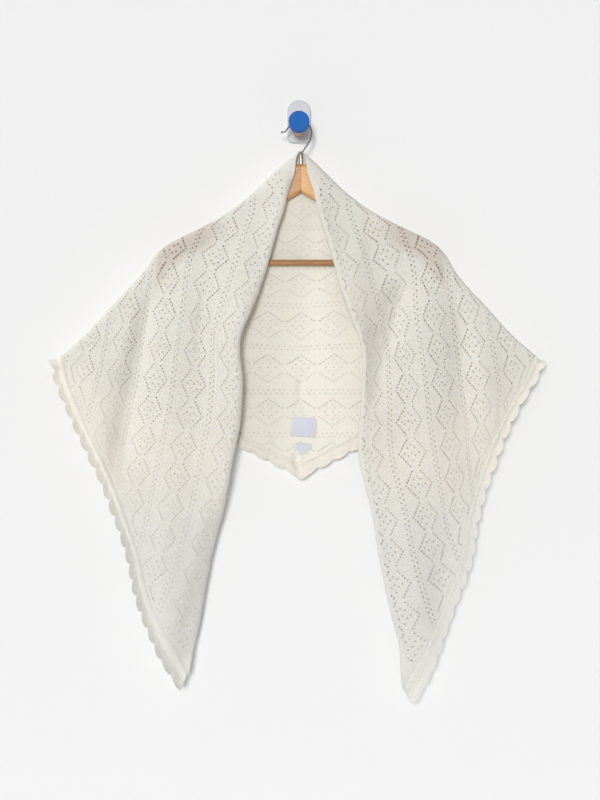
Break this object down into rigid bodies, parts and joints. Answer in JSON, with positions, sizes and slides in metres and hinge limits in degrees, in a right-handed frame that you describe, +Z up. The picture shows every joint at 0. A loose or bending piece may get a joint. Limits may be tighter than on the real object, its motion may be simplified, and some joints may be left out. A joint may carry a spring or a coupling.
{
  "type": "lace shawl on a wooden hanger and wall peg",
  "caption": "Triangular knitted lace shawl with a scalloped edging, folded over the shoulders of a wooden hanger that hangs by its steel hook from a wall peg",
  "frame": {"origin": "middle of the flat back face of the wall plate, where it meets the wall", "axes": "+Z up, +Y into the wall, +X to the viewer's right; the part lies on the -Y side of the wall"},
  "size_m": [0.7722, 0.0689, 0.9539],
  "materials": {
    "lace_knit": "fine soft cream wool knit with lace eyelets",
    "satin": "plain white woven satin, blank",
    "beech": "light orange-tan varnished wood",
    "dark_wood": "darker brown wooden bar",
    "steel": "bright bent steel wire",
    "white_plastic": "pale lilac-white satin plate",
    "pale_wood": "pale turned wood",
    "blue_paint": "bright blue lacquered end"
  },
  "bodies": {
    "root": {"shawl_front_left": "lace_knit", "shawl_front_right": "lace_knit", "shawl_point_left": "lace_knit", "shawl_point_right": "lace_knit", "shawl_back": "lace_knit", "edging_front_left": "lace_knit", "edging_front_right": "lace_knit", "edging_back": "lace_knit", "label": "satin", "care_tag": "satin", "hanger_arm_left": "beech", "hanger_arm_right": "beech", "trouser_bar": "dark_wood", "hook": "steel", "hook_sleeve": "steel", "hook_tip": "steel", "wall_plate": "white_plastic", "peg_shaft": "pale_wood", "peg_head": "blue_paint"}
  },
  "joints": []
}
